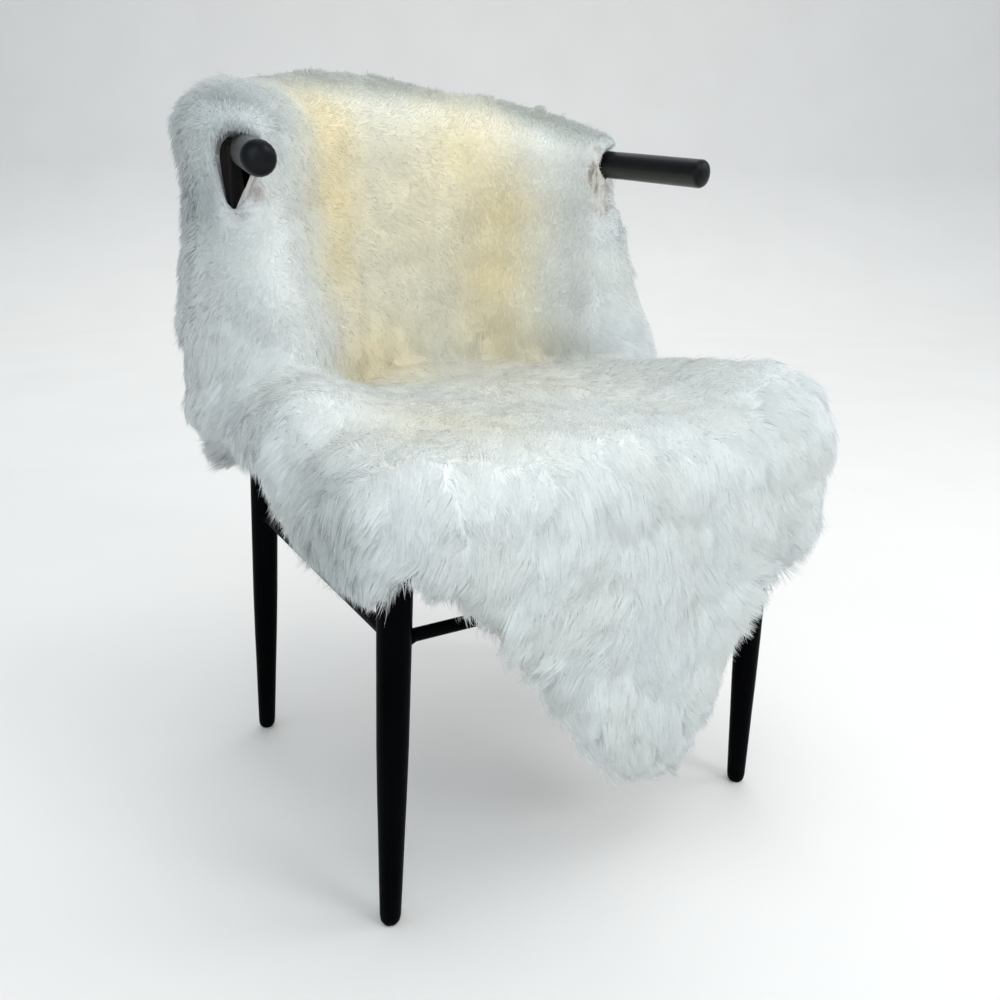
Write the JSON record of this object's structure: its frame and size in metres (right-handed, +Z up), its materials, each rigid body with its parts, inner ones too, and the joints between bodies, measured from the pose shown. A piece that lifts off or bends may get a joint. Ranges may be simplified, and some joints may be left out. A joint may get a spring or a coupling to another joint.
{
  "type": "sheepskin on armchair",
  "caption": "Ivory long-wool sheepskin laid over the seat and hung over the curved top rail of a plain black armchair, with a tongue at the front.",
  "frame": {"origin": "on the floor under the middle of the model's box", "axes": "+Z up, the chair faces -Y, +X is the sitter's left"},
  "size_m": [0.6756, 0.634, 0.8773],
  "materials": {
    "black_lacquer": "satin black lacquer",
    "sheepskin_wool": "long ivory wool on a suede pelt"
  },
  "bodies": {
    "root": {"apron_front": "black_lacquer", "apron_left": "black_lacquer", "apron_rear": "black_lacquer", "apron_right": "black_lacquer", "leg_front_left": "black_lacquer", "leg_front_right": "black_lacquer", "leg_rear_left": "black_lacquer", "leg_rear_right": "black_lacquer", "seat_panel": "black_lacquer", "sheepskin": "sheepskin_wool", "stretcher_front": "black_lacquer", "stretcher_left": "black_lacquer", "stretcher_right": "black_lacquer", "top_rail": "black_lacquer"}
  },
  "joints": []
}
